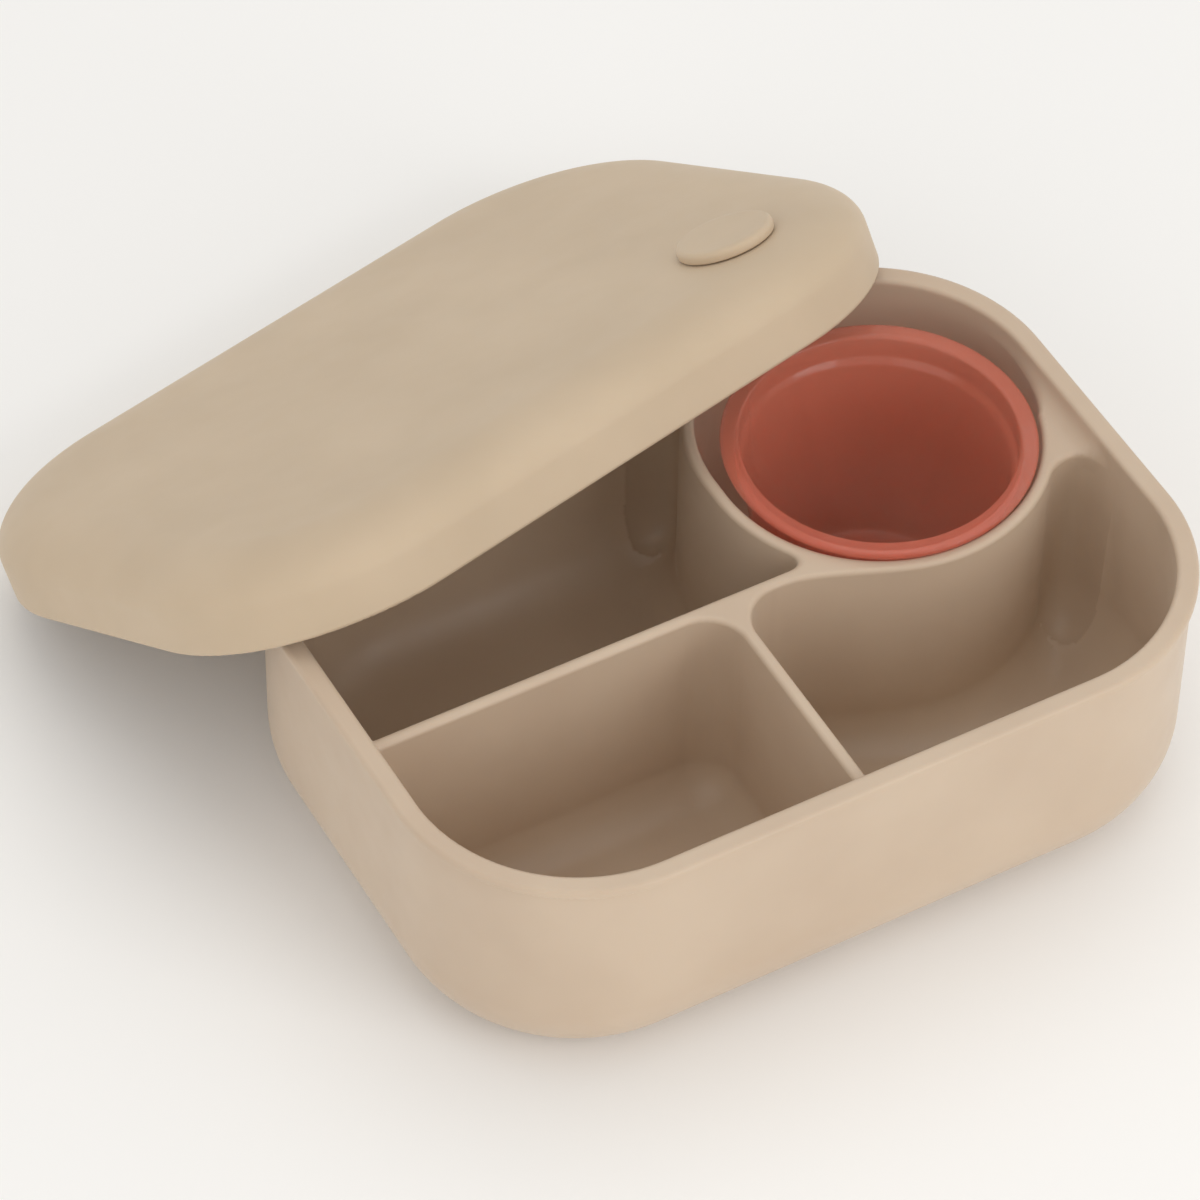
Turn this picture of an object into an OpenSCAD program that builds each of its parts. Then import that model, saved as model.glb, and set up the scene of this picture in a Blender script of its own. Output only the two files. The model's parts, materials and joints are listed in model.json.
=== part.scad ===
// Bento box: a silicone tray with four compartments, its lid leaning on the back rim,
// the vent plug in the lid, and a clear dip cup standing in the round pocket.
// Origin at the middle of the tray's underside, X along the long side, Z up, the front at -Y.

/* [Tray] */
// Length over the rim
tray_l = 200; // [170:1:240]
// Width over the rim
tray_w = 146; // [130:1:180]
// Height to the rim's top
tray_h = 67; // [62:1:90]
// Plan radius of the rim's corners
tray_r = 45; // [36:1:50]
// Thickness of the side walls
wall_t = 4; // [3:0.1:5]
// Thickness of the floor
floor_t = 3.5; // [2.5:0.1:5]
// Radius of the rounded edge under the tray
foot_r = 22.5; // [12:0.5:25]
// Radius where the side walls turn into the floor inside
well_r = 18.5; // [10:0.5:20]
// How far the rim's bead stands proud of the wall
bead_out = 1.2; // [0.6:0.1:2]
// Height of the rim's bead
bead_h = 2.4; // [1.5:0.1:5]

/* [Dividers] */
// How far the dividers end below the rim
divider_drop = 6; // [4:0.5:10]
// Thickness of the long and the cross divider
divider_t = 3.2; // [2.4:0.1:4.5]
// Middle line of the long divider, in front of the tray's middle
long_divider_y = -4.6; // [-12:0.1:0]
// Middle line of the cross divider
cross_divider_x = -3.2; // [-12:0.1:5]
// Radius where a divider meets the floor
floor_fillet_r = 8; // [4:0.5:10]
// Plan radius of a compartment's corner at the dividers
corner_r = 10; // [8:0.5:12]

/* [Round pocket] */
// Radius of the round pocket
pocket_r = 39.2; // [38.6:0.1:40]
// Thickness of the wall around the pocket
pocket_wall_t = 3.2; // [2.4:0.1:4]
// Distance from the pocket's right side to the tray's wall
pocket_gap = 2.8; // [2:0.1:4]
// How far the pocket's back reaches into the tray's back wall
pocket_reach = 0.6; // [0.2:0.1:0.8]
// Length of the straight stretch between the pocket's front and back arcs
pocket_straight = 5.0; // [2:0.1:6]
// How far to the right the pocket's second arc lies, which runs out into the tray's corner
pocket_out_x = 6; // [5:0.5:7]
// How far behind the front arc the second arc lies
pocket_out_y = 11; // [9:0.5:12]
// Plan radius where the pocket's wall turns into the long divider, at the back
nook_r = 5; // [3:0.5:7]
// Plan radius where the pocket's wall turns into the long divider, at the front
bay_r = 10; // [6:0.5:12]
// Plan radius where the pocket's wall turns into the right side and the back
side_r = 7; // [5:0.5:8]

/* [Lid] */
// Gap between the rim and the lid's skirt when it is closed
lid_fit = 0.4; // [0.2:0.1:0.8]
// Thickness of the skirt
skirt_t = 2.6; // [2:0.1:4]
// Height of the lid from its lower edge to its top
lid_h = 20.5; // [16:0.5:26]
// Thickness of the lid's plate
plate_t = 2.7; // [2:0.1:4]
// Depth of the seat for the rim below the lid's top
seat_drop = 7; // [6:0.5:9]
// How far the rounding of the top edge reaches inwards
edge_in = 17; // [10:0.5:20]
// How far the rounding of the top edge reaches down
edge_down = 10.5; // [8:0.5:12]
// Thickness of the sealing rib inside the rim
rib_t = 1.6; // [1.2:0.1:2.5]
// Length of the sealing rib below the seat
rib_h = 4; // [2:0.5:6]
// How far the lid is turned as it leans
lid_yaw = 12.5; // [8:0.5:16]
// How far the lid is tilted as it leans
lid_tilt = 31.3; // [27:0.1:34]
// How far the leaning lid is shifted along its own length
lid_along = -2.6; // [-6:0.1:4]

/* [Vent plug] */
// Diameter of the plug's round head
plug_d = 24; // [16:0.5:26]
// Height of the head
plug_h = 2.7; // [2:0.1:4]
// Diameter of the plug's stem
stem_d = 6; // [4:0.5:9]
// Gap around the stem in the lid's hole
stem_fit = 0.3; // [0.2:0.1:0.5]
// Diameter of the barb that keeps the plug in the lid
barb_d = 9; // [8:0.5:12]
// Height of the barb
barb_h = 2.4; // [1.5:0.1:4]
// How far the plug can be pulled up
plug_travel = 4; // [2:0.5:6]
// Distance from the lid's right end to the plug's middle
plug_in_x = 41; // [40:1:52]
// Distance from the lid's near edge to the plug's middle
plug_in_y = 30; // [30:1:45]

/* [Dip cup] */
// Diameter over the cup's rim
cup_d = 74; // [68:0.5:75]
// Height of the cup
cup_h = 60; // [59.5:0.5:64]
// Diameter of the cup's base
cup_base_d = 50; // [40:1:54]
// Thickness of the cup's wall
cup_wall_t = 0.9; // [0.6:0.1:1.5]
// How far the rim stands out from the cup's wall
cup_rim_out = 3.6; // [2:0.1:4]
// Height of the rolled rim
cup_rim_h = 2; // [1.2:0.1:2.4]
// Width of the step inside the cup below its rim
cup_step_w = 1.6; // [0.8:0.1:2.5]
// Depth of the step below the cup's top
cup_step_drop = 7; // [4:0.5:12]
// How deep the cup's base is drawn up
cup_base_up = 1.5; // [0.5:0.1:3]
// How far the cup stands left of the pocket's middle
cup_left = 0.8; // [0:0.1:2]
// How far the cup stands in front of the middle of the pocket's front arc
cup_near = 3.8; // [0:0.1:4.2]

/* [Fit and finish] */
// Gap between pieces that rest on each other
rest_gap = 0.3; // [0.2:0.05:0.4]
// Smoothness of the round surfaces
$fn = 96; // [48:8:160]

/* [Hidden] */

// How far a cut runs past the surface that it opens
overrun = 1;
// Steps in the rounding of the lid's top edge
edge_steps = 8;
silicone = "#c3ae93";
coral = "#d4776b";

// The inside of the tray
well_in = bead_out + wall_t;
well_l = tray_l - 2 * well_in;
well_w = tray_w - 2 * well_in;
well_plan_r = tray_r - well_in;
divider_z = tray_h - divider_drop;
long_far_y = long_divider_y + divider_t / 2;
long_near_y = long_divider_y - divider_t / 2;
cross_left_x = cross_divider_x - divider_t / 2;
cross_right_x = cross_divider_x + divider_t / 2;
pocket_x = well_l / 2 - pocket_gap - pocket_r;
pocket_back_y = well_w / 2 + pocket_reach - pocket_r;
pocket_front_y = pocket_back_y - pocket_straight;
ring_r = pocket_r + pocket_wall_t;
cup_x = pocket_x - cup_left;
cup_y = pocket_front_y - cup_near;

// The lid closed over the rim
lid_l = tray_l + 2 * (lid_fit + skirt_t);
lid_w = tray_w + 2 * (lid_fit + skirt_t);
lid_r = tray_r + lid_fit + skirt_t;
rib_in = skirt_t + 2 * lid_fit + well_in;
hole_d = stem_d + 2 * stem_fit;
plug_x = lid_l / 2 - plug_in_x;
plug_y = plug_in_y - lid_w / 2;

// The leaning lid: its far edge stands on the table and its plate lies on the back rim
rim_touch = [-(tray_l / 2 - tray_r) - tray_r * sin(lid_yaw), tray_w / 2 - tray_r + tray_r * cos(lid_yaw)];
lid_z = rest_gap + lid_w / 2 * sin(lid_tilt) + lid_h * cos(lid_tilt);
touch_across = rim_touch.y * cos(lid_yaw) - rim_touch.x * sin(lid_yaw);
lid_across = touch_across + (cos(lid_tilt) * (tray_h - lid_z) + plate_t + rest_gap) / sin(lid_tilt);
lid_x = lid_along * cos(lid_yaw) - lid_across * sin(lid_yaw);
lid_y = lid_along * sin(lid_yaw) + lid_across * cos(lid_yaw);

// A block with a rectangular plan and round corners, whose edge has the profile given as a child.
// The profile runs from 0 at the corner's centre to r at the wall, between heights 0 and h.
module loaf(l, w, r, h) {
    straight_l = l - 2 * r;
    straight_w = w - 2 * r;
    for (turn = [0, 180]) rotate(turn) {
        translate([straight_l / 2, straight_w / 2]) rotate_extrude(angle = 90) children();
        translate([-straight_l / 2, straight_w / 2]) rotate(90) rotate_extrude(angle = 90) children();
        translate([straight_l / 2, straight_w / 2]) rotate([90, 0, 0]) linear_extrude(straight_w) children();
        translate([-straight_l / 2, straight_w / 2]) rotate([90, 0, 90]) linear_extrude(straight_l) children();
    }
    translate([-straight_l / 2, -straight_w / 2]) cube([straight_l, straight_w, h]);
}

// The profile of an upright wall at r whose lower edge is round
module tub_profile(r, h, edge_r) {
    square([r - edge_r, h]);
    translate([0, edge_r]) square([r, h - edge_r]);
    intersection() {
        translate([r - edge_r, edge_r]) circle(edge_r);
        translate([r - edge_r, 0]) square([edge_r, edge_r]);
    }
}

// A loaf with upright walls and a round edge of radius edge_r underneath
module tub(l, w, r, h, edge_r) {
    loaf(l, w, r, h) tub_profile(r, h, edge_r);
}

// A loaf with upright walls and square edges
module slab(l, w, r, h) {
    loaf(l, w, r, h) square([r, h]);
}

// A compartment: a block from corner a to corner b whose upright and lower edges are round
module bay(a, b, h, plan_r, edge_r) {
    translate([(a.x + b.x) / 2, (a.y + b.y) / 2]) tub(b.x - a.x, b.y - a.y, plan_r, h, edge_r);
}

// The plan of the round pocket, grown by a wall
module pocket_plan(r) {
    translate([pocket_x, pocket_front_y]) circle(r);
    translate([pocket_x, pocket_back_y]) circle(r);
    translate([pocket_x - r, pocket_front_y]) square([2 * r, pocket_straight]);
}

// The pocket itself, with its floor edge round
module pocket(h) {
    for (y = [pocket_front_y, pocket_back_y])
        translate([pocket_x, y]) rotate_extrude() tub_profile(pocket_r, h, floor_fillet_r);
    translate([pocket_x, pocket_back_y]) rotate([90, 0, 0]) linear_extrude(pocket_straight)
        for (side = [0, 1]) mirror([side, 0]) tub_profile(pocket_r, h, floor_fillet_r);
}

// The pocket's second arc, which runs out through the tray's back right corner
module pocket_run_out(h) {
    intersection() {
        translate([pocket_x + pocket_out_x, pocket_front_y + pocket_out_y])
            rotate_extrude() tub_profile(pocket_r, h, floor_fillet_r);
        translate([pocket_x, -tray_w]) cube([tray_l, 2 * tray_w, h]);
    }
}

// Fills the corner at point inner with a round of radius r about centre, between two touch points
module round_in(centre, touch_a, inner, touch_b, r, h) {
    linear_extrude(h) difference() {
        polygon([centre, touch_a, inner, touch_b]);
        translate(centre) circle(r);
    }
}

// The wall of the pocket, as a post that the back and front compartments run around
module pocket_post(h) {
    pocket_centre = [pocket_x, pocket_front_y];
    linear_extrude(h) pocket_plan(ring_r);

    nook_up = long_far_y + nook_r - pocket_front_y;
    nook_centre = [pocket_x - sqrt(pow(ring_r + nook_r, 2) - pow(nook_up, 2)), long_far_y + nook_r];
    nook_touch = pocket_centre + (nook_centre - pocket_centre) * ring_r / (ring_r + nook_r);
    nook_inner = [pocket_x - sqrt(pow(ring_r, 2) - pow(long_far_y - pocket_front_y, 2)), long_far_y];
    round_in(nook_centre, [nook_centre.x, long_far_y], nook_inner + [overrun, -overrun], nook_touch, nook_r, h);

    bay_up = long_near_y - bay_r - pocket_front_y;
    bay_centre = [pocket_x - sqrt(pow(ring_r + bay_r, 2) - pow(bay_up, 2)), long_near_y - bay_r];
    bay_touch = pocket_centre + (bay_centre - pocket_centre) * ring_r / (ring_r + bay_r);
    bay_inner = [pocket_x - sqrt(pow(ring_r, 2) - pow(long_near_y - pocket_front_y, 2)), long_near_y];
    round_in(bay_centre, [bay_centre.x, long_near_y], bay_inner + [overrun, overrun], bay_touch, bay_r, h);

    side_run = well_l / 2 - side_r - pocket_x;
    side_down = sqrt(pow(ring_r + side_r, 2) - pow(side_run, 2));
    side_centre = [well_l / 2 - side_r, pocket_front_y - side_down];
    side_touch = pocket_centre + (side_centre - pocket_centre) * ring_r / (ring_r + side_r);
    side_inner = [well_l / 2 + overrun, pocket_front_y];
    round_in(side_centre, [well_l / 2, side_centre.y], side_inner, side_touch, side_r, h);

    back_centre_of_pocket = [pocket_x, pocket_back_y];
    back_run = well_w / 2 - side_r - pocket_back_y;
    back_left = sqrt(pow(ring_r + side_r, 2) - pow(back_run, 2));
    back_centre = [pocket_x - back_left, well_w / 2 - side_r];
    back_touch = back_centre_of_pocket + (back_centre - back_centre_of_pocket) * ring_r / (ring_r + side_r);
    back_inner = [pocket_x, well_w / 2 + overrun];
    round_in(back_centre, [back_centre.x, well_w / 2], back_inner, back_touch, side_r, h);
}

// The four compartments up to the dividers' tops
module compartments() {
    h = divider_z - floor_t;
    intersection() {
        tub(well_l, well_w, well_plan_r, h, well_r);
        union() {
            difference() {
                union() {
                    bay([-tray_l, long_far_y], [pocket_x, tray_w], h, corner_r, floor_fillet_r);
                    bay([cross_right_x, -tray_w], [tray_l, long_near_y], h, corner_r, floor_fillet_r);
                    translate([pocket_x, -tray_w]) cube([tray_l, tray_w + pocket_front_y - side_r, h]);
                }
                translate([0, 0, -overrun]) pocket_post(h + 2 * overrun);
            }
            bay([-tray_l, -tray_w], [cross_left_x, long_near_y], h, corner_r, floor_fillet_r);
            pocket(h);
            pocket_run_out(h);
        }
    }
}

module tray() {
    color(silicone) difference() {
        union() {
            tub(tray_l - 2 * bead_out, tray_w - 2 * bead_out, tray_r - bead_out, tray_h, foot_r);
            translate([0, 0, tray_h - bead_h]) slab(tray_l, tray_w, tray_r, bead_h);
        }
        translate([0, 0, divider_z]) slab(well_l, well_w, well_plan_r, divider_drop + overrun);
        translate([0, 0, floor_t]) compartments();
    }
}

// The lid's outside: upright skirt, then a quarter of an ellipse up to the flat top
module lid_profile() {
    polygon(concat(
        [[0, 0], [lid_r, 0]],
        [for (i = [0:edge_steps]) let (a = 90 * i / edge_steps)
            [lid_r - edge_in * (1 - cos(a)), lid_h - edge_down * (1 - sin(a))]],
        [[0, lid_h]]));
}

// A slab inset by a distance from the lid's outside
module lid_inset(inset, h) {
    slab(lid_l - 2 * inset, lid_w - 2 * inset, lid_r - inset, h);
}

module lid_shell() {
    seat_z = lid_h - seat_drop;
    rib_z = seat_z - rib_h;
    difference() {
        loaf(lid_l, lid_w, lid_r, lid_h) lid_profile();
        difference() {
            translate([0, 0, -overrun]) lid_inset(skirt_t, seat_z + overrun);
            translate([0, 0, rib_z]) lid_inset(rib_in, lid_h);
        }
        translate([0, 0, rib_z - overrun]) lid_inset(rib_in + rib_t, lid_h - plate_t - rib_z + overrun);
        translate([plug_x, plug_y, lid_h - plate_t - overrun]) cylinder(h = plate_t + 2 * overrun, d = hole_d);
    }
}

// Puts what is drawn with the lid's top at height 0 into the leaning lid's place
module leaning() {
    translate([lid_x, lid_y, lid_z]) rotate([0, 0, lid_yaw]) rotate([-lid_tilt, 0, 0]) children();
}

module lid() {
    color(silicone) leaning() translate([0, 0, -lid_h]) lid_shell();
}

// The plug: a round head with a soft edge, a stem through the plate, and a barb below it
module vent_plug() {
    edge_r = plug_h / 2;
    barb_z = -plate_t - plug_travel - 2 * rest_gap;
    color(silicone) leaning() translate([plug_x, plug_y, rest_gap]) {
        rotate_extrude() {
            square([plug_d / 2 - edge_r, plug_h]);
            square([plug_d / 2, edge_r]);
            translate([plug_d / 2 - edge_r, edge_r]) intersection() {
                circle(edge_r);
                square(edge_r);
            }
        }
        translate([0, 0, barb_z]) cylinder(h = -barb_z, d = stem_d);
        translate([0, 0, barb_z - barb_h]) cylinder(h = barb_h, d1 = stem_d, d2 = barb_d);
    }
}

// The cup: a tapered wall with a step, a rolled rim and a base that is drawn up a little
module dip_cup() {
    wall_top_r = cup_d / 2 - cup_rim_out;
    step_r = wall_top_r - cup_step_w;
    step_z = cup_h - cup_step_drop;
    base_r = cup_base_d / 2;
    inner_base_r = base_r - cup_wall_t;
    color(coral, 0.5) translate([cup_x, cup_y, floor_t + rest_gap]) rotate_extrude() polygon([
        [0, cup_base_up],
        [inner_base_r - cup_wall_t, cup_base_up],
        [inner_base_r, 0],
        [base_r, 0],
        [step_r, step_z - cup_step_w],
        [wall_top_r, step_z],
        [wall_top_r, cup_h - cup_rim_h],
        [cup_d / 2, cup_h - cup_rim_h],
        [cup_d / 2, cup_h],
        [wall_top_r - cup_wall_t, cup_h],
        [wall_top_r - cup_wall_t, step_z + cup_wall_t],
        [step_r - cup_wall_t, step_z - cup_step_w + cup_wall_t],
        [inner_base_r, cup_base_up + cup_wall_t],
        [0, cup_base_up + cup_wall_t],
    ]);
}

tray();
lid();
vent_plug();
dip_cup();
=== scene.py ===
# %% [markdown]
# # A silicone bento box, dressed for its portrait
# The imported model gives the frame: four solids at their real size, in metres. This script
# gives each of them the soft edges and the surface of the real thing. The tray, the lid and
# the vent plug are moulded silicone, and the dip cup is a thin clear plastic.

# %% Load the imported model
import json
import math
import bmesh
import bpy
import numpy as np
from mathutils import Matrix, Vector


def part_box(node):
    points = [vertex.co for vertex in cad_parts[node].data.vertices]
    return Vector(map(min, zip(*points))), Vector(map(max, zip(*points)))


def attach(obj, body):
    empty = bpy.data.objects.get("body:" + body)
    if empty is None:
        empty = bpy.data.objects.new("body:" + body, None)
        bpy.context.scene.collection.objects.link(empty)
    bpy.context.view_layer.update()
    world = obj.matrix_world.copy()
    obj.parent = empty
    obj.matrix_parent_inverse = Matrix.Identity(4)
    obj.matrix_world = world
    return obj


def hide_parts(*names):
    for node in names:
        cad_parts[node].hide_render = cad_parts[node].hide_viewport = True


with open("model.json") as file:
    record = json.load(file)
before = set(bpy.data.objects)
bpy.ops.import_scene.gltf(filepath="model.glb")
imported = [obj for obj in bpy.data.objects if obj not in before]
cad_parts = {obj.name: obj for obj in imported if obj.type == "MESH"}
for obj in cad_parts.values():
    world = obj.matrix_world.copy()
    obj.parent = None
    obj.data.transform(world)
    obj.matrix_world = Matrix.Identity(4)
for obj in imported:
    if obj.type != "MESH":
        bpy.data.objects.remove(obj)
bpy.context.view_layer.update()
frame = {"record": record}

# %% [markdown]
# ## The camera
# A long lens far away keeps the rim's lines almost parallel, as in a catalogue picture. The
# view comes from the front left and well above, so that the compartments can be looked into.
# The angles are the direction from the box to the camera, and the roll levels the picture.

# %% Place the camera
VIEW_AZIMUTH = math.radians(29.85)
VIEW_ELEVATION = math.radians(48.07)
VIEW_ROLL = math.radians(1.03)
VIEW_DISTANCE = 1.3926
VIEW_TARGET = Vector((-0.0235, 0.0173, 0.0506))
SENSOR_WIDTH = 36.0
FRAME_PIXELS = 1200
FOCAL_PIXELS = 6094.5
CLIP_END = 20


def camera_axes():
    """The camera's right, up and back directions in the row frame."""
    level = math.cos(VIEW_ELEVATION)
    back = Vector((-math.sin(VIEW_AZIMUTH) * level, -math.cos(VIEW_AZIMUTH) * level,
                   math.sin(VIEW_ELEVATION)))
    right = Vector((math.cos(VIEW_AZIMUTH), -math.sin(VIEW_AZIMUTH), 0))
    up = back.cross(right)
    c, s = math.cos(VIEW_ROLL), math.sin(VIEW_ROLL)
    return c * right + s * up, c * up - s * right, back


right, up, back = camera_axes()
camera_data = bpy.data.cameras.new("camera")
camera_data.lens = SENSOR_WIDTH * FOCAL_PIXELS / FRAME_PIXELS
camera_data.sensor_width = SENSOR_WIDTH
camera_data.clip_end = CLIP_END
camera = bpy.data.objects.new("camera", camera_data)
camera.matrix_world = Matrix.Translation(VIEW_TARGET + back * VIEW_DISTANCE) @ Matrix(
    (right, up, back)).transposed().to_4x4()
bpy.context.scene.collection.objects.link(camera)
bpy.context.scene.camera = camera
print("lens:", round(camera_data.lens, 1), "mm")

# %% [markdown]
# ## Colours and a helper for materials
# Colours are given as hex values, which are sRGB. Blender calculates in linear light, so one
# function turns them over. Another one adds a node to a material, sets its values and joins
# its inputs, which keeps each recipe short enough to read at a glance.

# %% Helpers for materials
MM = 0.001


def linear(hex_colour):
    """An sRGB hex colour as linear red, green, blue and alpha."""
    parts = [int(hex_colour[i:i + 2], 16) / 255 for i in (1, 3, 5)]
    return [p / 12.92 if p <= 0.04045 else ((p + 0.055) / 1.055) ** 2.4 for p in parts] + [1]


def add(tree, kind, values=None, links=None, **settings):
    """Adds a node, sets its properties and input values, and links its inputs."""
    node = tree.nodes.new(kind)
    for name, value in settings.items():
        setattr(node, name, value)
    for name, value in (values or {}).items():
        node.inputs[name].default_value = value
    for name, source in (links or {}).items():
        tree.links.new(source, node.inputs[name])
    return node


def new_material(name):
    """An empty material and its node tree."""
    material = bpy.data.materials.new(name)
    material.use_nodes = True
    material.node_tree.nodes.clear()
    return material, material.node_tree


# %% [markdown]
# ## Moulded silicone
# Platinum silicone is pressed in a steel mould. Its colour is mixed right through, so it shows
# no edge wear, only very slight clouds in the tone. The skin copies the mould: the lid was
# moulded against a fine blasted face and scatters the light, while the tray's is smoother
# and keeps a soft sheen. The blasting's grain is about 0.1 mm, too fine to show here, so it
# is drawn at 0.5 mm. A little light goes into the rubber and comes out again nearby.

# %% Make the silicone materials
CLOUD_MM = 38.0
GRAIN_MM = 0.5
GRAIN_DEPTH_MM = 0.05
GLOSS_CLOUD_MM = 9.0
TONE_SPREAD = (0.35, 0.65)
GLOSS_SPREAD = (0.3, 0.7)
SILICONE_IOR = 1.41
SCATTER_SHARE = 0.12
SCATTER_DEPTH_MM = 1.5
SCATTER_REACH = (1.0, 0.65, 0.4)
SHEEN_SHARE = 0.15
SHEEN_ROUGHNESS = 0.5
SHEEN_TINT = "#f2e8da"
# A mix node repeats its input names for each kind of data, so the colour ones go by number.
MIX_FACTOR, MIX_FIRST, MIX_SECOND, MIX_RESULT = 0, 6, 7, 2


def moulded_silicone(name, light, dark, roughness, grain):
    """Silicone between two tones, with a range of roughness and a fine mould grain."""
    material, tree = new_material(name)
    place = add(tree, "ShaderNodeTexCoord").outputs["Object"]
    cloud = add(tree, "ShaderNodeTexNoise", {"Scale": 1 / (CLOUD_MM * MM), "Detail": 3.0},
                {"Vector": place})
    tone = add(tree, "ShaderNodeMapRange",
               {"From Min": TONE_SPREAD[0], "From Max": TONE_SPREAD[1]},
               {"Value": cloud.outputs["Fac"]})
    colour = add(tree, "ShaderNodeMix", data_type="RGBA")
    colour.inputs[MIX_FIRST].default_value = linear(dark)
    colour.inputs[MIX_SECOND].default_value = linear(light)
    tree.links.new(tone.outputs["Result"], colour.inputs[MIX_FACTOR])
    patch = add(tree, "ShaderNodeTexNoise", {"Scale": 1 / (GLOSS_CLOUD_MM * MM), "Detail": 4.0},
                {"Vector": place})
    gloss = add(tree, "ShaderNodeMapRange",
                {"From Min": GLOSS_SPREAD[0], "From Max": GLOSS_SPREAD[1],
                 "To Min": roughness[0], "To Max": roughness[1]},
                {"Value": patch.outputs["Fac"]})
    fine = add(tree, "ShaderNodeTexNoise", {"Scale": 1 / (GRAIN_MM * MM), "Detail": 2.0},
               {"Vector": place})
    bump = add(tree, "ShaderNodeBump", {"Strength": grain, "Distance": GRAIN_DEPTH_MM * MM},
               {"Height": fine.outputs["Fac"]})
    shader = add(tree, "ShaderNodeBsdfPrincipled",
                 {"IOR": SILICONE_IOR, "Subsurface Weight": SCATTER_SHARE,
                  "Subsurface Scale": SCATTER_DEPTH_MM * MM, "Subsurface Radius": SCATTER_REACH,
                  "Sheen Weight": SHEEN_SHARE, "Sheen Roughness": SHEEN_ROUGHNESS,
                  "Sheen Tint": linear(SHEEN_TINT)},
                 {"Base Color": colour.outputs[MIX_RESULT], "Roughness": gloss.outputs["Result"],
                  "Normal": bump.outputs["Normal"]})
    add(tree, "ShaderNodeOutputMaterial", links={"Surface": shader.outputs["BSDF"]})
    return material


tray_silicone = moulded_silicone("satin moulded silicone", "#ccb7a0", "#c6b099", (0.32, 0.42), 0.12)
lid_silicone = moulded_silicone("matte moulded silicone", "#ccb79c", "#c6b196", (0.5, 0.6), 0.3)
print("silicones:", tray_silicone.name, "and", lid_silicone.name)

# %% [markdown]
# ## Clear tinted plastic
# The dip cup is formed from a thin sheet of polypropylene with a coral tint. Most of the light
# goes straight through each of its skins, and from above its rim looks lighter than its inside.

# %% Make the cup's material
PLASTIC_IOR = 1.49
PLASTIC_GLOSS = (0.06, 0.16)
PLASTIC_TRANSMISSION = 0.2
PLASTIC_ALPHA = 0.38


def clear_plastic(name, tint):
    """Thin tinted plastic that lets light through, with a gloss that varies a little."""
    material, tree = new_material(name)
    place = add(tree, "ShaderNodeTexCoord").outputs["Object"]
    haze = add(tree, "ShaderNodeTexNoise", {"Scale": 1 / (GLOSS_CLOUD_MM * MM), "Detail": 3.0},
               {"Vector": place})
    rough = add(tree, "ShaderNodeMapRange",
                {"From Min": GLOSS_SPREAD[0], "From Max": GLOSS_SPREAD[1],
                 "To Min": PLASTIC_GLOSS[0], "To Max": PLASTIC_GLOSS[1]},
                {"Value": haze.outputs["Fac"]})
    shader = add(tree, "ShaderNodeBsdfPrincipled",
                 {"Base Color": linear(tint), "IOR": PLASTIC_IOR,
                  "Transmission Weight": PLASTIC_TRANSMISSION, "Alpha": PLASTIC_ALPHA},
                 {"Roughness": rough.outputs["Result"]})
    add(tree, "ShaderNodeOutputMaterial", links={"Surface": shader.outputs["BSDF"]})
    return material


cup_plastic = clear_plastic("clear coral polypropylene", "#f28268")
print("plastic:", cup_plastic.name, "with alpha", PLASTIC_ALPHA)

# %% [markdown]
# ## Helpers for meshes
# The vent plug and the cup are turned on an axis. Each profile becomes a row of closed loops,
# which are joined one after the other with four-sided faces. A flat face closes each end.

# %% Helpers for meshes


def make_object(name, points_mm, faces, material, place=Matrix.Identity(4)):
    """An object at the origin from points in millimetres, shaded smooth."""
    mesh = bpy.data.meshes.new(name)
    mesh.from_pydata([Vector(p) * MM for p in points_mm], [], faces)
    mesh.transform(place)
    work = bmesh.new()
    work.from_mesh(mesh)
    bmesh.ops.recalc_face_normals(work, faces=work.faces)
    work.to_mesh(mesh)
    work.free()
    mesh.shade_smooth()
    mesh.materials.append(material)
    piece = bpy.data.objects.new(name, mesh)
    bpy.context.scene.collection.objects.link(piece)
    return piece


def join_loops(loops):
    """Points and faces of a skin over loops of equal length, with a face at each end."""
    count = len(loops[0])
    points = [p for loop in loops for p in loop]
    faces = []
    for ring in range(len(loops) - 1):
        for i in range(count):
            j = (i + 1) % count
            low, high = ring * count, (ring + 1) * count
            faces.append((low + i, low + j, high + j, high + i))
    faces.append(tuple(reversed(range(count))))
    faces.append(tuple(range((len(loops) - 1) * count, len(loops) * count)))
    return points, faces


def arc(centre, radius, start, end, steps):
    """Points of an arc in a profile, from one angle to another in degrees."""
    turns = [math.radians(start + (end - start) * i / steps) for i in range(steps + 1)]
    return [(centre[0] + radius * math.cos(t), centre[1] + radius * math.sin(t)) for t in turns]


POLE_R = 0.5


def turned(profile, steps):
    """Loops of a profile of radius and height that is turned round the Z axis.

    A profile starts and ends POLE_R from the axis, where the flat end faces lie.
    """
    angles = [2 * math.pi * i / steps for i in range(steps)]
    return [[(r * math.cos(a), r * math.sin(a), z) for a in angles] for r, z in profile]


# %% [markdown]
# ## The tray
# The tray is one moulding: a deep shell with a big round foot, a beaded rim, two dividers and
# the ring wall of the round pocket, all melting into each other in soft fillets. Such blends
# are hard to bevel by hand, so the shape is written as a distance: a formula that is negative
# inside the silicone, zero on its skin and positive outside. Two walls are joined or cut with
# a stated fillet, as a mould maker would do it, and a net of faces is then laid over the zero.

# %% Distances and fillets


def rounded_rectangle(x, y, length, width, corner):
    """Distance to a rectangle with round corners in the plan, negative inside."""
    dx = np.abs(x) - (length / 2 - corner)
    dy = np.abs(y) - (width / 2 - corner)
    outside = np.hypot(np.maximum(dx, 0), np.maximum(dy, 0))
    return outside + np.minimum(np.maximum(dx, dy), 0) - corner


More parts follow.
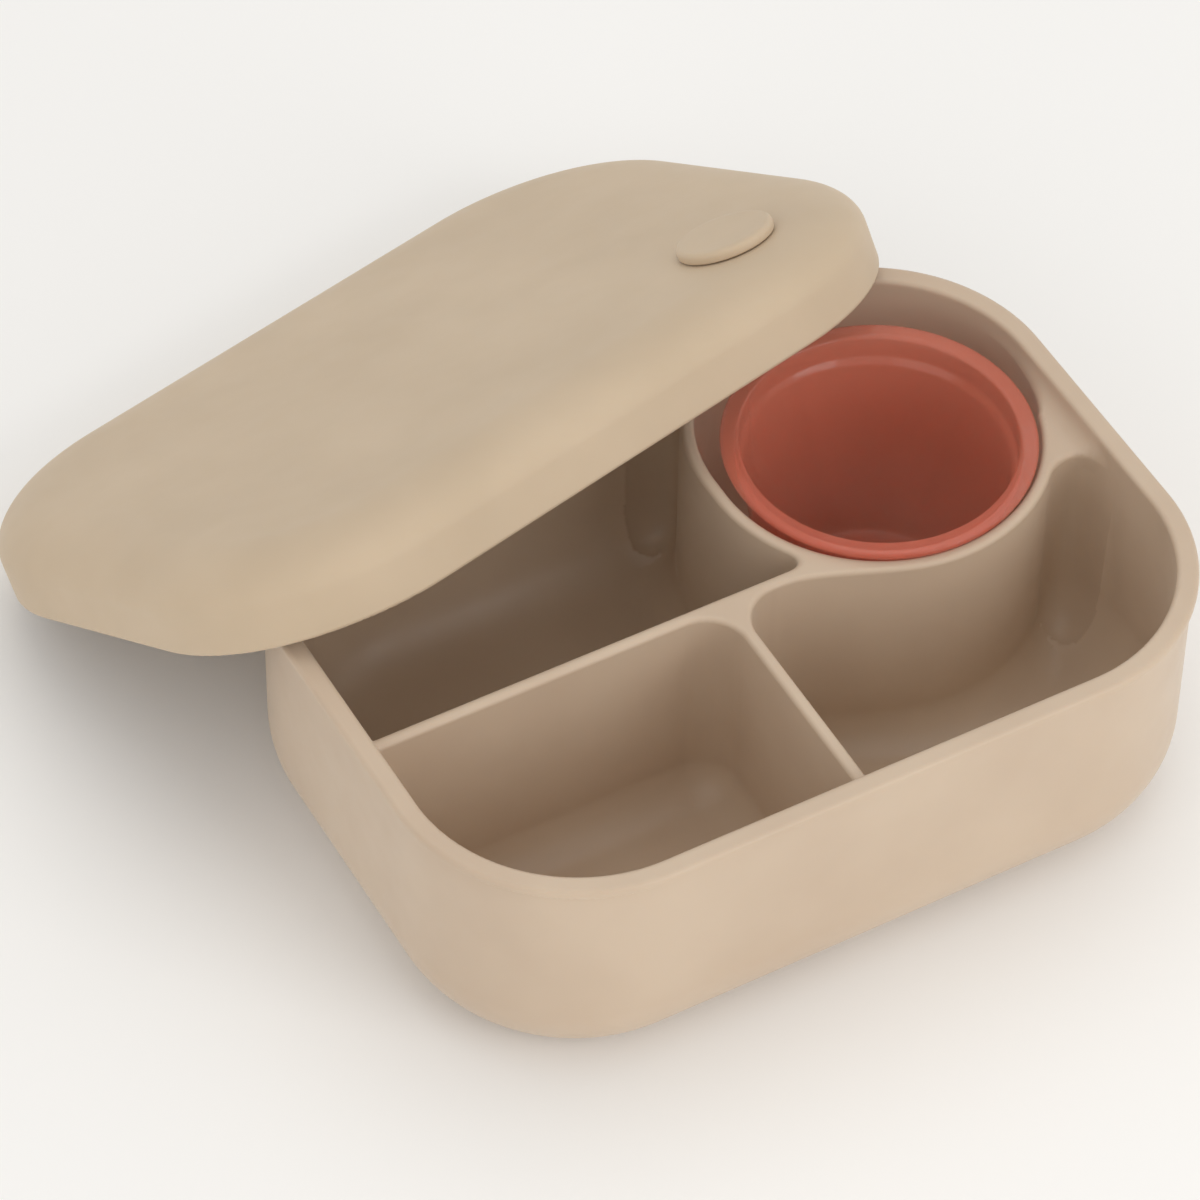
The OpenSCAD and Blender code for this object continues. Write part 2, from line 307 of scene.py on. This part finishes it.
def both(a, b, fillet):
    """Where two shapes overlap, with the edge between them rounded."""
    rounded = np.hypot(np.maximum(a + fillet, 0), np.maximum(b + fillet, 0))
    return np.minimum(np.maximum(a, b), -fillet) + rounded


def either(a, b, fillet):
    """Two shapes joined, with a fillet in the corner between them."""
    return -both(-a, -b, fillet)


# %% Sizes of the tray
low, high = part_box("tray")
TRAY_L, TRAY_W, TRAY_H = [(b - a) / MM for a, b in zip(low, high)]
CORNER = 45.0
BEAD_OUT = 1.2
BEAD_H = 2.4
WALL = 4.0
FLOOR = 3.5
FOOT_ROUND = 22.5
WELL_ROUND = 18.5
DIVIDER_DROP = 6.0
DIVIDER_TOP = TRAY_H - DIVIDER_DROP
LONG_FAR_Y = -3.0
LONG_NEAR_Y = -6.2
CROSS_LEFT_X = -4.8
CROSS_RIGHT_X = -1.6
POCKET_R = 39.2
POCKET_WALL = 3.2
POCKET_GAP = 2.8
POCKET_REACH = 0.6
POCKET_STRAIGHT = 5.0
BAY_CORNER = 10.0
NOOK = 5.0
EDGE = 1.2
SEAM_HEIGHTS = (4.0, 24.0, 44.0, 60.0)
SEAM_FILLETS = (10.0, 8.0, 5.0, 3.0)
LEDGE_FILLET = 5.5
LEDGE_HEIGHTS = (56.0, 61.0)
LEDGE_REACH = (12.0, 18.0)
CLEFT_ROUND = 9.0
CLEFT_BEYOND = 3.0
OPEN_RIGHT = 6.0
OPEN_BACK = 11.0
OPEN_FROM = 10.0
WELL_L = TRAY_L - 2 * (BEAD_OUT + WALL)
WELL_W = TRAY_W - 2 * (BEAD_OUT + WALL)
WELL_CORNER = CORNER - BEAD_OUT - WALL
POCKET_X = WELL_L / 2 - POCKET_GAP - POCKET_R
POCKET_BACK_Y = WELL_W / 2 + POCKET_REACH - POCKET_R
POCKET_FRONT_Y = POCKET_BACK_Y - POCKET_STRAIGHT
RING_R = POCKET_R + POCKET_WALL
print("tray:", round(TRAY_L, 1), "x", round(TRAY_W, 1), "x", round(TRAY_H, 1), "mm")

# %% The tray's shape as a distance


def pocket_ring(x, y, radius):
    """Distance to the plan of the round pocket."""
    along = np.clip(y, POCKET_FRONT_Y, POCKET_BACK_Y)
    return np.hypot(x - POCKET_X, y - along) - radius


def fill_cleft(bay, x, y, pocket, wall, side):
    """Rounds the narrow corner of a bay where the pocket's wall runs into the tray's wall.

    The round touches the pocket's wall, and a line a little beyond the tray's wall.
    """
    pocket, wall = Vector(pocket), Vector(wall)
    edge = abs(wall.x) * WELL_L / 2 + abs(wall.y) * WELL_W / 2 + CLEFT_BEYOND
    off = edge - CLEFT_ROUND - pocket.dot(wall)
    along = math.sqrt((RING_R + CLEFT_ROUND) ** 2 - off ** 2)
    centre = pocket + off * wall + along * Vector(side)
    inward = ((pocket - centre).normalized() + wall).normalized()
    beyond = (x - centre.x) * inward.x + (y - centre.y) * inward.y - CLEFT_ROUND * inward.dot(wall)
    round_part = np.hypot(x - centre.x, y - centre.y) - CLEFT_ROUND
    return np.maximum(bay, np.minimum(round_part, beyond))


def pocket_plan(x, y):
    """Distance to the plan of the pocket, which runs out into the tray's back right corner."""
    run_out = np.hypot(x - POCKET_X - OPEN_RIGHT, y - POCKET_FRONT_Y - OPEN_BACK) - POCKET_R
    return np.minimum(pocket_ring(x, y, POCKET_R), np.maximum(run_out, POCKET_X - OPEN_FROM - x))


def compartments(x, y):
    """Distance to the nearest of the four compartments in the plan."""
    ring = pocket_ring(x, y, RING_R)
    back_bay = both(np.maximum(LONG_FAR_Y - y, x - POCKET_X), -ring, NOOK)
    back_bay = fill_cleft(back_bay, x, y, (POCKET_X, POCKET_BACK_Y), (0, 1), (-1, 0))
    left_bay = both(x - CROSS_LEFT_X, y - LONG_NEAR_Y, BAY_CORNER)
    beside = np.maximum(POCKET_X - x, y - POCKET_FRONT_Y)
    right_bay = both(CROSS_RIGHT_X - x, np.minimum(y - LONG_NEAR_Y, beside), BAY_CORNER)
    right_bay = both(right_bay, -ring, BAY_CORNER)
    right_bay = fill_cleft(right_bay, x, y, (POCKET_X, POCKET_FRONT_Y), (1, 0), (0, -1))
    return np.minimum(np.minimum(back_bay, left_bay), np.minimum(right_bay, pocket_plan(x, y)))


def seam_fillet(x, y, z):
    """Fillet between the tray's wall and what stands against it, large on the pocket's ledge."""
    small = np.interp(z, SEAM_HEIGHTS, SEAM_FILLETS)
    near = np.interp(pocket_ring(x, y, POCKET_R), LEDGE_REACH, (1, 0))
    share = near * np.interp(z, LEDGE_HEIGHTS, (0, 1))
    return small + share * (LEDGE_FILLET - small)


def tray_distance(x, y, z):
    """Distance to the tray's skin in millimetres, negative inside the silicone."""
    wall = rounded_rectangle(x, y, TRAY_L - 2 * BEAD_OUT, TRAY_W - 2 * BEAD_OUT, CORNER - BEAD_OUT)
    bead = rounded_rectangle(x, y, TRAY_L, TRAY_W, CORNER)
    bead = both(bead, TRAY_H - BEAD_H - z, EDGE / 2)
    outside = either(both(wall, -z, FOOT_ROUND), bead, EDGE / 2)
    outside = both(outside, z - TRAY_H, EDGE)
    well = both(rounded_rectangle(x, y, WELL_L, WELL_W, WELL_CORNER), FLOOR - z, WELL_ROUND)
    room = either(DIVIDER_TOP - z, compartments(x, y), EDGE)
    cavity = both(well, room, seam_fillet(x, y, z))
    return both(outside, -cavity, EDGE)


# %% [markdown]
# The net is a grid of small cells. Each cell that the skin crosses gets one point, and the
# cells around each crossed edge are joined by a face. The points are then pulled onto the
# exact skin, thinned out where it is flat, and pulled on again, which keeps the shading calm.

# %% Lay a net over a distance


def skin_net(distance, low_corner, high_corner, step):
    """Points and four-sided faces where the distance is zero."""
    axes = [np.arange(a, b + step, step) for a, b in zip(low_corner, high_corner)]
    values = distance(*np.meshgrid(*axes, indexing="ij", sparse=True))
    inside = values < 0
    size = [n - 1 for n in values.shape]
    corners = [(i, j, k) for i in (0, 1) for j in (0, 1) for k in (0, 1)]

    def shifted(array, corner):
        return array[tuple(slice(c, c + n) for c, n in zip(corner, size))]

    filled = sum(shifted(inside, c).astype(np.int8) for c in corners)
    cells = np.argwhere((filled > 0) & (filled < len(corners)))
    at_corner = np.stack([shifted(values, c)[tuple(cells.T)] for c in corners], axis=1)
    total = np.zeros((len(cells), 3))
    count = np.zeros(len(cells))
    for a, corner_a in enumerate(corners):
        for b, corner_b in enumerate(corners):
            if b <= a or sum(abs(p - q) for p, q in zip(corner_a, corner_b)) != 1:
                continue
            start, end = at_corner[:, a], at_corner[:, b]
            crossed = (start < 0) != (end < 0)
            share = np.where(crossed, start / np.where(crossed, start - end, 1), 0)
            point = np.array(corner_a) + share[:, None] * (np.array(corner_b) - np.array(corner_a))
            total += point * crossed[:, None]
            count += crossed
    points = np.array([a[0] for a in axes]) + step * (cells + total / count[:, None])

    number = -np.ones(size, dtype=np.int64)
    number[tuple(cells.T)] = np.arange(len(cells))
    faces = []
    for axis in range(3):
        u, v = [k for k in range(3) if k != axis]
        first = [slice(None)] * 3
        second = [slice(None)] * 3
        first[axis], second[axis] = slice(0, -1), slice(1, None)
        here = inside[tuple(first)]
        edge = np.argwhere(here != inside[tuple(second)])
        edge = edge[(edge[:, u] > 0) & (edge[:, u] < size[u])
                    & (edge[:, v] > 0) & (edge[:, v] < size[v])]
        around = []
        for du, dv in ((-1, -1), (0, -1), (0, 0), (-1, 0)):
            cell = edge.copy()
            cell[:, u] += du
            cell[:, v] += dv
            around.append(number[tuple(cell.T)])
        quads = np.stack(around, axis=1)
        flip = here[tuple(edge.T)] != (axis == 1)
        quads[~flip] = quads[~flip][:, ::-1]
        faces.append(quads)
    return points, np.concatenate(faces)


PROBE = 0.02
LEAST_SLOPE = 0.25


def slope_at(distance, points):
    """How fast the distance grows along x, y and z at each point."""
    return np.stack([
        (distance(*(points + PROBE * unit).T) - distance(*(points - PROBE * unit).T)) / (2 * PROBE)
        for unit in np.eye(3)], axis=1)


def pull_on(distance, points, rounds):
    """Moves points along the distance's slope until they lie on the skin."""
    for _ in range(rounds):
        slope = slope_at(distance, points)
        length = np.maximum((slope ** 2).sum(axis=1), LEAST_SLOPE)
        points = points - (distance(*points.T) / length)[:, None] * slope
    return points


# %% Make a moulding from a distance
FINE_STEP = 0.8
NET_STEP = FINE_STEP
NET_KEEP = 0.2
FIRST_PULLS = 3
LAST_PULLS = 2


def thin_out(piece, keep):
    """Replaces a piece's mesh by one with fewer faces, where it is flat."""
    modifier = piece.modifiers.new("thin", "DECIMATE")
    modifier.ratio = keep
    depsgraph = bpy.context.evaluated_depsgraph_get()
    mesh = bpy.data.meshes.new_from_object(piece.evaluated_get(depsgraph))
    piece.modifiers.clear()
    piece.data = mesh


def moulding(name, distance, low_corner, high_corner, material):
    """A piece with its skin on the distance's zero, and the skin's own normals for shading."""
    margin = 2 * NET_STEP
    points, faces = skin_net(distance, [c - margin for c in low_corner],
                             [c + margin for c in high_corner], NET_STEP)
    points = pull_on(distance, points, FIRST_PULLS)
    piece = make_object(name, points.tolist(), faces.tolist(), material)
    thin_out(piece, NET_KEEP)
    flat = np.empty(3 * len(piece.data.vertices))
    piece.data.vertices.foreach_get("co", flat)
    points = pull_on(distance, flat.reshape(-1, 3) / MM, LAST_PULLS)
    piece.data.vertices.foreach_set("co", (points * MM).ravel())
    slope = slope_at(distance, points)
    slope /= np.linalg.norm(slope, axis=1)[:, None]
    piece.data.shade_smooth()
    piece.data.normals_split_custom_set_from_vertices(slope.tolist())
    print(name, "faces:", len(faces), "->", len(piece.data.polygons))
    return piece


# %% Build the tray
tray = moulding("tray_moulding", tray_distance, (-TRAY_L / 2, -TRAY_W / 2, 0),
                (TRAY_L / 2, TRAY_W / 2, TRAY_H), tray_silicone)
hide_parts("tray")
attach(tray, "tray")

# %% [markdown]
# ## The lid
# The lid is a shallow moulded cap: a flat top, a broad soft shoulder that is part of an ellipse,
# an upright skirt with a round lip, the seat for the rim, and the thin rib that seals inside it.
# Its distance is written with the middle of its top at zero.

# %% Sizes of the lid
FIT = 0.4
SKIRT = 2.6
LID_H = 20.5
PLATE = 2.7
SEAT_DROP = 7.0
SHOULDER_IN = 17.0
SHOULDER_DOWN = 10.5
RIB = 1.6
RIB_H = 4.0
LIP = 1.2
LID_L = TRAY_L + 2 * (FIT + SKIRT)
LID_W = TRAY_W + 2 * (FIT + SKIRT)
LID_CORNER = CORNER + FIT + SKIRT
RIB_IN = SKIRT + 2 * FIT + BEAD_OUT + WALL
PLUG_IN_X = 41.0
PLUG_IN_Y = 30.0
PLUG_X = LID_L / 2 - PLUG_IN_X
PLUG_Y = PLUG_IN_Y - LID_W / 2
STEM_R = 3.0
STEM_FIT = 0.3
HOLE_R = STEM_R + STEM_FIT
SMALL = 1e-9
CENTRE_SHARE = 0.05

# %% The lid's shape as a distance


def shoulder(plan, z):
    """Distance to the lid's top and side with the elliptical shoulder between them.

    Close to the ellipse's centre the formula fails, and a fixed depth stands in for it.
    """
    along = np.maximum(plan + SHOULDER_IN, 0)
    rise = np.maximum(z + SHOULDER_DOWN, 0)
    ratio = np.hypot(along / SHOULDER_IN, rise / SHOULDER_DOWN)
    slope = np.hypot(along / SHOULDER_IN ** 2, rise / SHOULDER_DOWN ** 2)
    curved = ratio * (ratio - 1) / np.maximum(slope, SMALL)
    return np.where(ratio > CENTRE_SHARE, curved, -(1 - CENTRE_SHARE) * SHOULDER_DOWN)


def lid_distance(x, y, z):
    """Distance to the lid's skin in millimetres, negative inside the silicone."""
    plan = rounded_rectangle(x, y, LID_L, LID_W, LID_CORNER)
    outside = both(shoulder(plan, z), -LID_H - z, LIP)
    seat = both(plan + SKIRT, z + SEAT_DROP, LIP)
    hollow = both(plan + RIB_IN + RIB / 2, z + PLATE, LIP)
    rib = both(np.abs(plan + RIB_IN + RIB / 2) - RIB / 2, -SEAT_DROP - RIB_H - z, RIB / 2)
    inside = both(np.minimum(seat, hollow), -rib, LIP / 2)
    skin = both(outside, -inside, LIP)
    vent = HOLE_R - np.hypot(x - PLUG_X, y - PLUG_Y)
    return both(skin, vent, LIP / 4)


# %% [markdown]
# The lid leans on the tray's back rim with its far edge on the table. The frame already holds
# that pose: the vent plug is pulled out square to the lid, so its joint gives the lid's tilt
# and turn, and the lid's box gives its place.

# %% Build the lid and lean it
pull = next(j for j in frame["record"]["behaviour"]["joints"] if j["name"] == "vent_pull")
normal = Vector(pull["axis"]).normalized()
LID_YAW = math.atan2(-normal.x, normal.y)
LID_TILT = math.acos(normal.z)
lean = Matrix.Rotation(LID_YAW, 4, "Z") @ Matrix.Rotation(-LID_TILT, 4, "X")
print("lid: turned", round(math.degrees(LID_YAW), 1), "and tilted",
      round(math.degrees(LID_TILT), 1), "degrees")

lid = moulding("lid_moulding", lid_distance, (-LID_L / 2, -LID_W / 2, -LID_H),
               (LID_L / 2, LID_W / 2, 0), lid_silicone)
leaning_points = [lean @ v.co for v in lid.data.vertices]
box_middle = [(min(p[i] for p in leaning_points) + max(p[i] for p in leaning_points)) / 2
              for i in range(3)]
low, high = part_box("lid")
lid_place = Matrix.Translation((Vector(low) + Vector(high)) / 2 - Vector(box_middle)) @ lean
lid.data.transform(lid_place)
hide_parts("lid")
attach(lid, "lid")

# %% [markdown]
# ## The vent plug
# The plug is a soft round button that seals the vent. Its stem goes through the lid, and a
# barb below keeps it from getting lost. It is turned from one profile.

# %% Build the vent plug
PLUG_R = 12.0
PLUG_H = 2.7
PLUG_DISH = 0.15
PLUG_DISH_HALFWAY = 0.12
PLUG_BRIM = 2.6
PLUG_ROUND = 1.4
PLUG_UNDER_ROUND = 0.5
PLUG_SIDES = 96
PLUG_TRAVEL = 4.0
STEM_FLARE = 0.8
STEM_FLARE_H = 0.6
STEM_FLARE_TOP = 0.05
BARB_R = 4.5
BARB_H = 2.4
BARB_EDGE = 0.3
BARB_NECK = 0.2
REST = 0.3
BARB_TOP = -PLATE - PLUG_TRAVEL - 2 * REST


def plug_profile():
    """Radius and height from the middle of the head over its edge and down the stem."""
    head = [(POLE_R, PLUG_H - PLUG_DISH), (PLUG_R / 2, PLUG_H - PLUG_DISH_HALFWAY),
            (PLUG_R - PLUG_BRIM, PLUG_H)]
    edge = arc((PLUG_R - PLUG_ROUND, PLUG_H - PLUG_ROUND), PLUG_ROUND, 78, 0, 6)
    edge += arc((PLUG_R - PLUG_UNDER_ROUND, PLUG_UNDER_ROUND), PLUG_UNDER_ROUND, 0, -90, 4)
    stem = [(STEM_R + STEM_FLARE, STEM_FLARE_TOP), (STEM_R, -STEM_FLARE_H),
            (STEM_R, BARB_TOP + BARB_EDGE), (STEM_R + BARB_NECK, BARB_TOP)]
    barb = [(BARB_R - BARB_EDGE, BARB_TOP), (BARB_R, BARB_TOP - BARB_EDGE),
            (STEM_R, BARB_TOP - BARB_H), (POLE_R, BARB_TOP - BARB_H)]
    return head + edge + stem + barb


points, faces = join_loops(turned(plug_profile(), PLUG_SIDES))
plug_place = lid_place @ Matrix.Translation(Vector((PLUG_X, PLUG_Y, REST)) * MM)
plug = make_object("vent_plug_moulding", points, faces, lid_silicone, plug_place)
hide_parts("vent_plug")
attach(plug, "vent_plug")
print("vent plug:", 2 * PLUG_R, "mm across,", len(faces), "faces")

# %% [markdown]
# ## The dip cup
# A portion cup is formed from a thin sheet, so its wall is equally thin from base to rim. It has
# a drawn-up base, a straight taper, a step that lets a stack of cups come apart, and a rolled rim.

# %% Build the dip cup
low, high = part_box("dip_cup")
CUP_R = (high[0] - low[0]) / 2 / MM
CUP_H = (high[2] - low[2]) / MM
CUP_CENTRE = Vector(((low[0] + high[0]) / 2, (low[1] + high[1]) / 2, low[2]))
CUP_BASE_R = 25.0
CUP_WALL = 0.9
CUP_RIM = 3.6
CUP_RIM_H = 2.0
CUP_STEP = 1.6
CUP_STEP_DROP = 7.0
CUP_BASE_UP = 1.5
CUP_BASE_IN = 4.0
CUP_FOOT_IN = 2.0
CUP_FOOT_UP = 0.2
CUP_FOOT_ROUND = 1.2
CUP_ROLL_R = 0.9
CUP_LIP_ROUND = 1.0
CUP_FLOOR_ROUND = 1.5
CUP_SIDES = 128


def cup_profile():
    """Radius and height from under the base, up the outside, over the rim and down inside.

    The small offsets soften the corners of the step and of the rim's underside.
    """
    wall_r = CUP_R - CUP_RIM
    step_r = wall_r - CUP_STEP
    step_z = CUP_H - CUP_STEP_DROP
    base = [(POLE_R, CUP_BASE_UP), (CUP_BASE_R - CUP_BASE_IN, CUP_BASE_UP),
            (CUP_BASE_R - CUP_FOOT_IN, CUP_FOOT_UP)]
    foot = arc((CUP_BASE_R - CUP_FOOT_ROUND, CUP_FOOT_ROUND), CUP_FOOT_ROUND, -90, 0, 5)
    outer = [(step_r - 0.1, step_z - 2), (step_r + 0.3, step_z - 1.2), (wall_r - 0.3, step_z - 0.3),
             (wall_r, step_z + 0.5), (wall_r, CUP_H - CUP_RIM_H - 0.2)]
    roll = [(wall_r + 0.3, CUP_H - CUP_RIM_H), (CUP_R - 0.5, CUP_H - CUP_RIM_H)]
    roll += arc((CUP_R - CUP_ROLL_R, CUP_H - CUP_ROLL_R), CUP_ROLL_R, -20, 90, 7)
    top = arc((wall_r - CUP_WALL + CUP_LIP_ROUND, CUP_H - CUP_LIP_ROUND), CUP_LIP_ROUND, 90, 180, 5)
    inner = [(wall_r - CUP_WALL, step_z + 1.2), (wall_r - CUP_WALL - 0.3, step_z + 0.5),
             (step_r - CUP_WALL + 0.2, step_z - 0.5), (step_r - CUP_WALL, step_z - 1.4)]
    floor = arc((CUP_BASE_R - CUP_WALL - CUP_FLOOR_ROUND, CUP_BASE_UP + CUP_WALL + CUP_FLOOR_ROUND),
                CUP_FLOOR_ROUND, 0, -90, 5)
    return base + foot + outer + roll + top + inner + floor + [(POLE_R, CUP_BASE_UP + CUP_WALL)]


points, faces = join_loops(turned(cup_profile(), CUP_SIDES))
cup = make_object("dip_cup_shell", points, faces, cup_plastic, Matrix.Translation(CUP_CENTRE))
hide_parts("dip_cup")
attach(cup, "dip_cup")
print("cup:", round(2 * CUP_R, 1), "mm across,", round(CUP_H, 1), "mm high,", len(faces), "faces")

# %% [markdown]
# ## The table and the light
# The picture is a plain studio shot: a pale table and large soft lamps. The main lamp stands to
# the right in front, so the front wall and the lid's near shoulder are lighter than its top.

# %% Build the table
FLOOR_SIZE = 6.0
FLOOR_DROP = 0.0002
PAPER_COLOUR = "#f9f8f6"
PAPER_ROUGHNESS = 0.7
PAPER_GRAIN_MM = 2.5
PAPER_GRAIN_DEPTH_MM = 0.1
PAPER_GRAIN_STRENGTH = 0.05

floor_material, tree = new_material("pale paper")
speckle = add(tree, "ShaderNodeTexNoise", {"Scale": 1 / (PAPER_GRAIN_MM * MM), "Detail": 2.0},
              {"Vector": add(tree, "ShaderNodeTexCoord").outputs["Object"]})
paper_bump = add(tree, "ShaderNodeBump",
                 {"Strength": PAPER_GRAIN_STRENGTH, "Distance": PAPER_GRAIN_DEPTH_MM * MM},
                 {"Height": speckle.outputs["Fac"]})
paper = add(tree, "ShaderNodeBsdfPrincipled",
            {"Base Color": linear(PAPER_COLOUR), "Roughness": PAPER_ROUGHNESS},
            {"Normal": paper_bump.outputs["Normal"]})
add(tree, "ShaderNodeOutputMaterial", links={"Surface": paper.outputs["BSDF"]})
floor_mesh = bpy.data.meshes.new("floor")
reach = FLOOR_SIZE / 2
floor_mesh.from_pydata([(-reach, -reach, -FLOOR_DROP), (reach, -reach, -FLOOR_DROP),
                        (reach, reach, -FLOOR_DROP), (-reach, reach, -FLOOR_DROP)], [], [(0, 1, 2, 3)])
floor_mesh.materials.append(floor_material)
floor_object = bpy.data.objects.new("floor", floor_mesh)
bpy.context.scene.collection.objects.link(floor_object)
print("table:", FLOOR_SIZE, "m square")

# %% Light the scene
LAMP_AIM = Vector((0, 0.03, 0.04))
STUDIO_COLOUR = "#f6f5f3"
STUDIO_STRENGTH = 0.8


def softbox(name, position, size, power):
    """A square white lamp that faces the box, with its size in metres and its power in watts."""
    lamp = bpy.data.lights.new(name, "AREA")
    lamp.size = size
    lamp.energy = power
    holder = bpy.data.objects.new(name, lamp)
    holder.location = position
    holder.rotation_euler = (LAMP_AIM - Vector(position)).to_track_quat("-Z", "Y").to_euler()
    bpy.context.scene.collection.objects.link(holder)
    print(name, size, "m,", power, "W")


softbox("main softbox", (0.5, -1.3, 0.8), 0.9, 6.5)
softbox("fill softbox", (-1.2, -0.6, 0.8), 1.2, 2.4)
softbox("top softbox", (0.2, 0.4, 1.5), 1.2, 3.2)

world = bpy.data.worlds.new("studio")
world.use_nodes = True
studio = world.node_tree.nodes["Background"]
studio.inputs["Color"].default_value = linear(STUDIO_COLOUR)
studio.inputs["Strength"].default_value = STUDIO_STRENGTH
bpy.context.scene.world = world
bpy.context.scene.view_settings.view_transform = "Standard"
